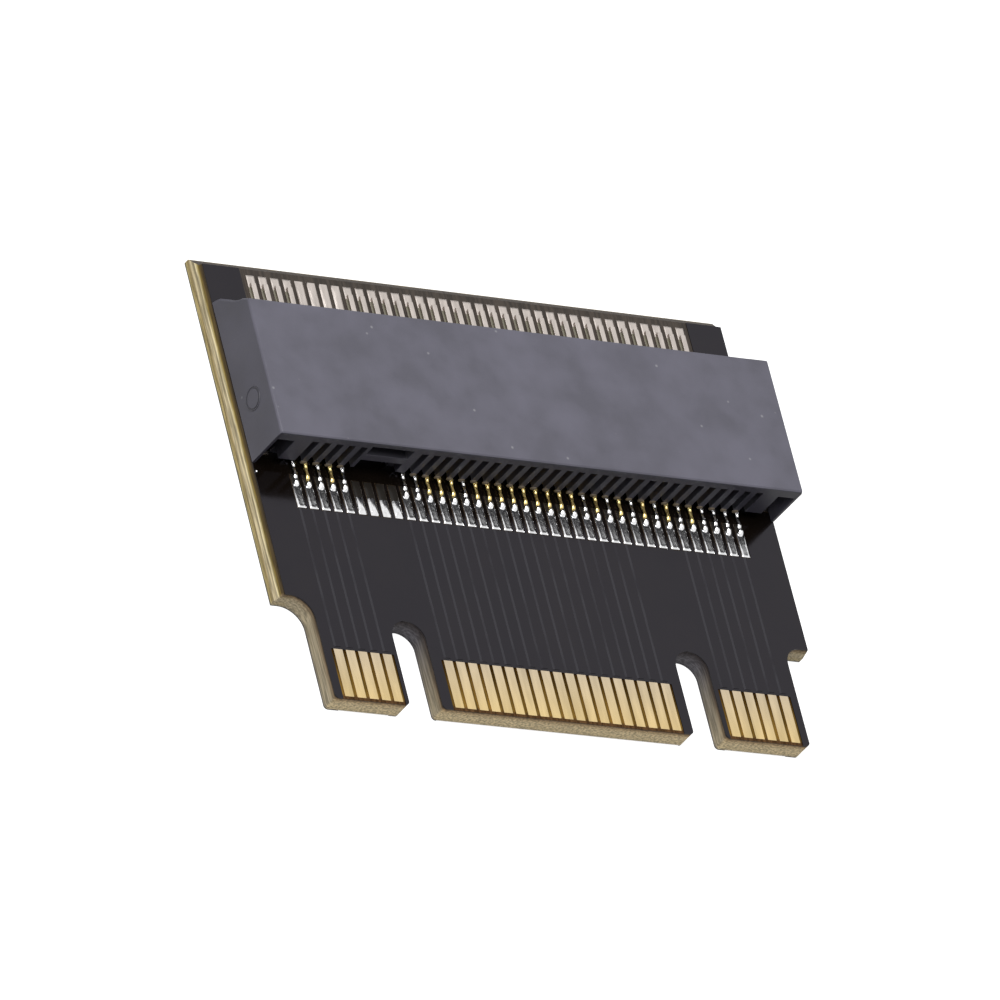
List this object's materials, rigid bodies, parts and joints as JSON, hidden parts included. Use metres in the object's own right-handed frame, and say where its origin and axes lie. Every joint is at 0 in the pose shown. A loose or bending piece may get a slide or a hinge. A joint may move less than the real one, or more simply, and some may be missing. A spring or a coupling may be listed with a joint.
{
  "type": "ssd extension adapter",
  "caption": "A short black M.2 extension adapter card with a gold-fingered keyed card edge at one end and a low edge-card socket soldered across the other.",
  "frame": {"origin": "middle of the card's outline, on the plane of its back face", "axes": "X across the card, to the right with the card edge down and the socket facing the viewer; +Y from the card edge to the socket's mouth; +Z out of the component face"},
  "size_m": [0.022, 0.0178, 0.0028],
  "materials": {
    "laminate": "glass-epoxy laminate, routed and snapped edges",
    "black_lacquer": "glossy black solder mask",
    "gold_plate": "hard gold plating",
    "tin_plate": "satin tin",
    "moulded_black": "glass-filled moulding, satin",
    "contact_plate": "plated copper alloy",
    "solder": "bright solder"
  },
  "bodies": {
    "root": {"board_laminate": "laminate", "front_solder_mask": "black_lacquer", "back_solder_mask": "black_lacquer", "front_fingers_left": "gold_plate", "front_fingers_middle": "gold_plate", "front_fingers_right": "gold_plate", "back_fingers_left": "gold_plate", "back_fingers_middle": "gold_plate", "back_fingers_right": "gold_plate", "rear_pads": "tin_plate", "front_pads": "tin_plate", "hold_down_pads": "tin_plate", "socket_housing": "moulded_black", "rear_contacts_key_side": "contact_plate", "rear_contacts_main": "contact_plate", "front_contacts_key_side": "contact_plate", "front_contacts_main": "contact_plate", "left_hold_down": "tin_plate", "right_hold_down": "tin_plate", "rear_solder_joints": "solder", "front_solder_joints": "solder", "bare_pad_solder": "solder"}
  },
  "joints": []
}
